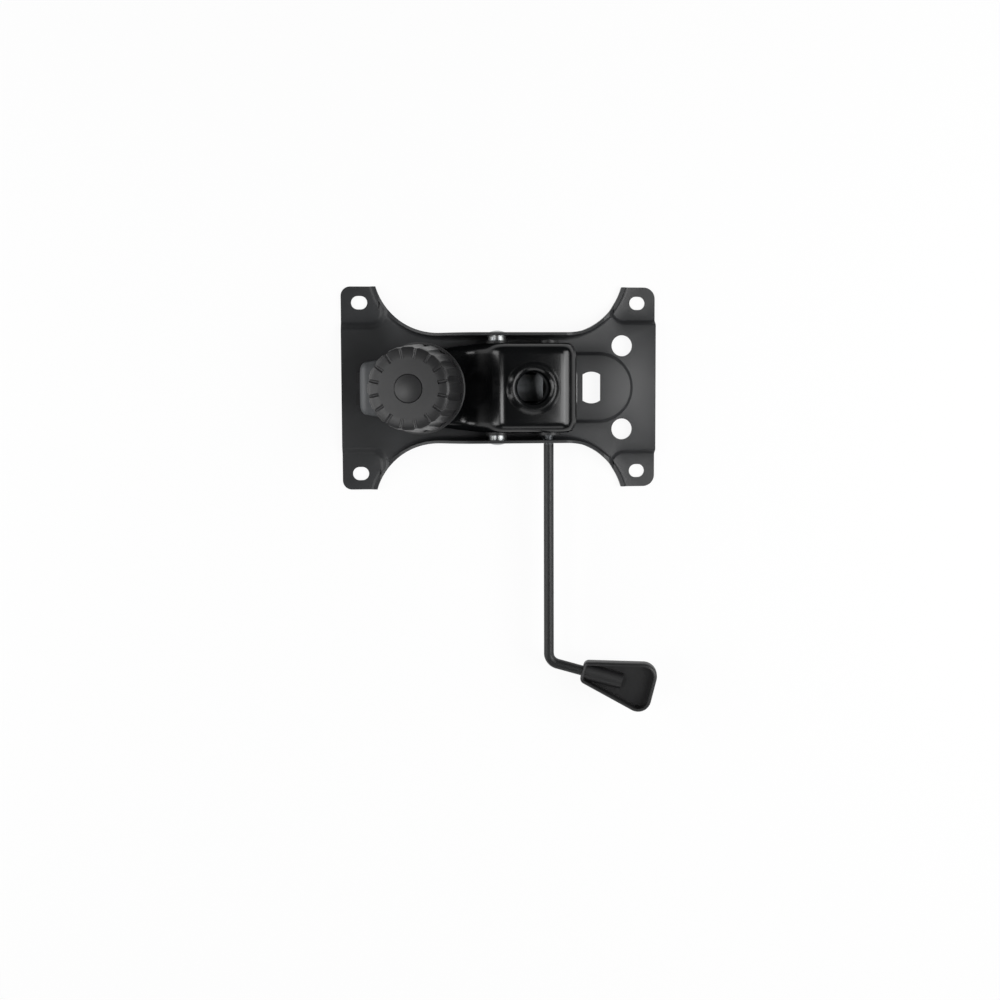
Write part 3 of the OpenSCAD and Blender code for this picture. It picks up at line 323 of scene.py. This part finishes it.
def black_nitrile_rubber():
    """Moulded nitrile rubber: matt, with a talc bloom."""
    mat, tree, place = start_material("black_nitrile_rubber")
    bloom = add(tree, "ShaderNodeTexNoise", {"Vector": place, "Scale": marks(3), "Detail": 5.0})
    shade = add(tree, "ShaderNodeValToRGB", {"Fac": bloom.outputs["Fac"]},
                stops=[(0.0, "#161617"), (1.0, "#2a2a2b")])
    rough = add(tree, "ShaderNodeMapRange", {"Value": bloom.outputs["Fac"], "To Min": 0.7, "To Max": 0.9})
    bump = add(tree, "ShaderNodeBump", {"Height": bloom.outputs["Fac"], "Strength": 0.2,
                                        "Distance": 0.05 * MM})
    matt = add(tree, "ShaderNodeBsdfPrincipled", {
        "IOR": 1.52, "Base Color": shade.outputs["Color"], "Roughness": rough.outputs["Result"],
        "Normal": bump.outputs["Normal"]})
    add(tree, "ShaderNodeOutputMaterial", {"Surface": matt.outputs["BSDF"]})
    return mat


def smooth_by_angle():
    """A modifier tree that joins a mesh's split faces and shades it smooth, but for its sharp edges."""
    tree = bpy.data.node_groups.new("smooth_by_angle", "GeometryNodeTree")
    for way in ("INPUT", "OUTPUT"):
        tree.interface.new_socket("Geometry", in_out=way, socket_type="NodeSocketGeometry")
    given = add(tree, "NodeGroupInput")
    plain = add(tree, "GeometryNodeRemoveAttribute", {"Geometry": given.outputs[0], "Name": "custom_normal"})
    joined = add(tree, "GeometryNodeMergeByDistance", {"Geometry": plain.outputs[0],
                                                       "Distance": SAME_CORNER * MM})
    angle = add(tree, "GeometryNodeInputMeshEdgeAngle")
    soft = add(tree, "FunctionNodeCompare", {"A": angle.outputs["Unsigned Angle"], "B": SHARP_EDGE},
               operation="LESS_THAN")
    faces = add(tree, "GeometryNodeSetShadeSmooth", {0: joined.outputs[0], "Shade Smooth": True},
                domain="FACE")
    edges = add(tree, "GeometryNodeSetShadeSmooth", {0: faces.outputs[0],
                                                     "Shade Smooth": soft.outputs["Result"]}, domain="EDGE")
    add(tree, "NodeGroupOutput", {0: edges.outputs[0]})
    return tree


def skinned_piece(name, rings, finish, body):
    """Skins equal rings of points, caps both ends and makes a piece that rides on a body."""
    bm = bmesh.new()
    rows = [[bm.verts.new(point) for point in ring] for ring in rings]
    count = len(rows[0])
    for low, high in zip(rows, rows[1:]):
        for k in range(count):
            after = (k + 1) % count
            bm.faces.new((low[k], low[after], high[after], high[k]))
    bm.faces.new(rows[0])
    bm.faces.new(rows[-1])
    bmesh.ops.recalc_face_normals(bm, faces=bm.faces)
    for face in bm.faces:
        face.smooth = True
    mesh = bpy.data.meshes.new(name)
    bm.to_mesh(mesh)
    bm.free()
    mesh.materials.append(finish)
    piece = bpy.data.objects.new(name, mesh)
    scene.collection.objects.link(piece)
    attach(piece, body)
    return piece


def on_bolt(x, y, along):
    """A point in the bolt's own frame, given in millimetres, as a place in metres."""
    return BALL + BOLT_TURN @ Vector((x, y, along)) * MM


def spring_rise(turns):
    """Height of the wire's middle after so many turns: close at both ends and open between."""
    opened = min(max(turns - CLOSED_CURLS, 0), OPEN_CURLS)
    return (turns - opened) * CLOSED_PITCH + opened * OPEN_PITCH


def coil_spring(finish):
    """The tension spring as a round wire with two closed ends."""
    turns = OPEN_CURLS + 2 * CLOSED_CURLS
    steps = int(turns * CURL_STEPS)
    rings = []
    for i in range(steps + 1):
        wound = turns * i / steps
        turn = math.tau * wound
        middle = SPRING_FOOT + WIRE / 2 + spring_rise(wound)
        ring = []
        for k in range(WIRE_SIDES):
            a = math.tau * k / WIRE_SIDES
            r = CURL / 2 + WIRE / 2 * math.cos(a)
            ring.append(on_bolt(r * math.cos(turn), r * math.sin(turn), middle + WIRE / 2 * math.sin(a)))
        rings.append(ring)
    spring = skinned_piece("wound_spring", rings, finish, "base")
    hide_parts("tension_spring")
    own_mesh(spring)


def circle(radii, along):
    """Points round the bolt at one height, one for each radius."""
    step = math.tau / len(radii)
    return [on_bolt(r * math.cos(k * step), r * math.sin(k * step), along) for k, r in enumerate(radii)]


def thread_radius(along, share):
    """The thread's radius at a height over the ball and at a share of a turn."""
    left = BOLT_END - along
    fade = min(1.0, (along - THREAD_FOOT) / THREAD_RUN_IN, left / THREAD_RUN_OUT + THREAD_LEFT)
    phase = (along / THREAD_PITCH - share) % 1.0
    groove = max(0.0, 1 - abs(phase - 0.5) / GROOVE_HALF)
    chamfer = max(0.0, TIP_CHAMFER - left)
    return BOLT_R - THREAD_DEPTH * groove * fade - chamfer


def threaded_bolt(finish):
    """The tension bolt: ball head, plain shank and a cut thread for the nut."""
    flat_angle = math.acos(BALL_FLAT / BALL_R)
    neck_angle = math.asin(BOLT_R / BALL_R)
    rings = [circle([FLAT_MIDDLE_R] * BOLT_SIDES, BALL_FLAT)]
    for i in range(BALL_STEPS + 1):
        a = flat_angle + (neck_angle - flat_angle) * i / BALL_STEPS
        rings.append(circle([BALL_R * math.sin(a)] * BOLT_SIDES, BALL_R * math.cos(a)))
    rings.append(circle([BOLT_R] * BOLT_SIDES, THREAD_FOOT))
    step = THREAD_PITCH / PITCH_STEPS
    for i in range(1, int((BOLT_END - THREAD_FOOT) / step)):
        along = THREAD_FOOT + i * step
        rings.append(circle([thread_radius(along, k / BOLT_SIDES) for k in range(BOLT_SIDES)], along))
    bolt = skinned_piece("threaded_bolt", rings, finish, "bolt")
    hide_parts("tension_bolt")


coat = powder_coated_steel()
enamel = enamelled_drawn_steel()
rod_black = blackened_rod_steel()
zinc = barrel_zinc_plate()
steel = oiled_spring_steel()
knob_plastic = moulded_plastic("moulded_polypropylene", 1.49, "#202021", "#282829", (0.34, 0.44))
paddle_plastic = moulded_plastic("moulded_nylon", 1.53, "#161617", "#1d1d1e", (0.42, 0.54))
nylon = black_bearing_nylon()
rubber = black_nitrile_rubber()

FINISHES = {
    "seat_plate": coat, "bolt_saddle": steel, "saddle_rivets": zinc, "pivot_axle": zinc,
    "axle_washers": zinc, "front_bumpers": rubber, "base_housing": enamel, "gas_lift_socket": enamel,
    "pivot_bushes": nylon, "lever_guide_bush": nylon, "lever_end_bush": nylon,
    "spring_seat_washer": steel, "recline_pads": rubber, "tension_spring": steel, "tension_bolt": zinc,
    "spring_cup": steel, "slip_washer": nylon, "tension_knob": knob_plastic, "knob_cap": knob_plastic,
    "tension_nut": zinc, "lever_sleeve": nylon, "lever_rod": rod_black, "lever_paddle": paddle_plastic,
    "release_tongue": steel, "lever_rings": steel,
}
smoothing = smooth_by_angle()
for name, finish in FINISHES.items():
    nodes[name].data.materials.clear()
    nodes[name].data.materials.append(finish)
    nodes[name].modifiers.new("smooth", "NODES").node_group = smoothing

coil_spring(steel)
threaded_bolt(zinc)


def light_paths(tree):
    """Two sockets: 1 for what the eye sees, and 1 for what metal and glass show of their surroundings."""
    path = add(tree, "ShaderNodeLightPath")
    shine = add(tree, "ShaderNodeMath", {0: path.outputs["Is Glossy Ray"],
                                         1: path.outputs["Is Transmission Ray"]}, operation="MAXIMUM")
    return path.outputs["Is Camera Ray"], shine.outputs["Value"]


def pale_floor():
    """A pale matt floor that the eye sees as near white, with the object's soft shadow."""
    mat = bpy.data.materials.new("pale_floor")
    tree = empty_tree(mat)
    eye, shine = light_paths(tree)
    seen = add(tree, "ShaderNodeMath", {0: eye, 1: shine}, operation="MAXIMUM")
    share = add(tree, "ShaderNodeMath", {0: seen.outputs["Value"], 1: FLOOR_WHITE}, operation="MULTIPLY")
    matt = add(tree, "ShaderNodeBsdfDiffuse", {"Color": linear("#f4f4f4")})
    white = add(tree, "ShaderNodeEmission", {"Color": linear("#ffffff"), "Strength": 1.0})
    both = add(tree, "ShaderNodeMixShader", {"Fac": share.outputs["Value"], 1: matt.outputs["BSDF"],
                                             2: white.outputs["Emission"]})
    add(tree, "ShaderNodeOutputMaterial", {"Surface": both.outputs["Shader"]})
    bm = bmesh.new()
    bmesh.ops.create_grid(bm, x_segments=1, y_segments=1, size=FLOOR_REACH)
    mesh = bpy.data.meshes.new("floor")
    bm.to_mesh(mesh)
    bm.free()
    mesh.materials.append(mat)
    floor = bpy.data.objects.new("floor", mesh)
    floor.location.z = -FLOOR_GAP * MM
    scene.collection.objects.link(floor)


def soft_lamp(name, place, width, depth, watts):
    """A rectangular soft lamp that points at the origin."""
    data = bpy.data.lights.new(name, "AREA")
    data.shape = "RECTANGLE"
    data.size = width
    data.size_y = depth
    data.energy = watts
    lamp = bpy.data.objects.new(name, data)
    lamp.location = place
    lamp.rotation_euler = (-Vector(place)).to_track_quat("-Z", "Y").to_euler()
    scene.collection.objects.link(lamp)


def white_surround():
    """A white wall all round, that the eye sees and that metal and glass show, under a dark ceiling."""
    world = bpy.data.worlds.new("studio")
    scene.world = world
    tree = empty_tree(world)
    eye, shine = light_paths(tree)
    way = add(tree, "ShaderNodeSeparateXYZ", {"Vector": add(tree, "ShaderNodeTexCoord").outputs["Generated"]})
    wall = add(tree, "ShaderNodeMapRange", {"Value": way.outputs["Z"], "From Min": math.sin(WALL_TOP[1]),
                                            "From Max": math.sin(WALL_TOP[0])})
    shown = add(tree, "ShaderNodeMath", {0: shine, 1: wall.outputs["Result"]}, operation="MULTIPLY")
    seen = add(tree, "ShaderNodeMath", {0: eye, 1: shown.outputs["Value"]}, operation="MAXIMUM")
    level = add(tree, "ShaderNodeMapRange", {"Value": seen.outputs["Value"], "To Min": CEILING,
                                             "To Max": 1.0})
    sky = add(tree, "ShaderNodeBackground", {"Color": linear("#ffffff"), "Strength": level.outputs["Result"]})
    add(tree, "ShaderNodeOutputWorld", {"Surface": sky.outputs["Background"]})


def photo_camera():
    """The camera at the photograph's place and angle."""
    data = bpy.data.cameras.new("photo_camera")
    data.lens = LENS
    data.sensor_width = SENSOR
    data.shift_y = SHIFT
    camera = bpy.data.objects.new("photo_camera", data)
    camera.location = CAMERA_PLACE
    camera.rotation_euler = [math.radians(turn) for turn in CAMERA_TURN]
    scene.collection.objects.link(camera)
    scene.camera = camera


pale_floor()
for name, (place, width, depth, watts) in LAMPS.items():
    soft_lamp(name, place, width, depth, watts)
white_surround()
photo_camera()
scene.view_settings.view_transform = "Standard"
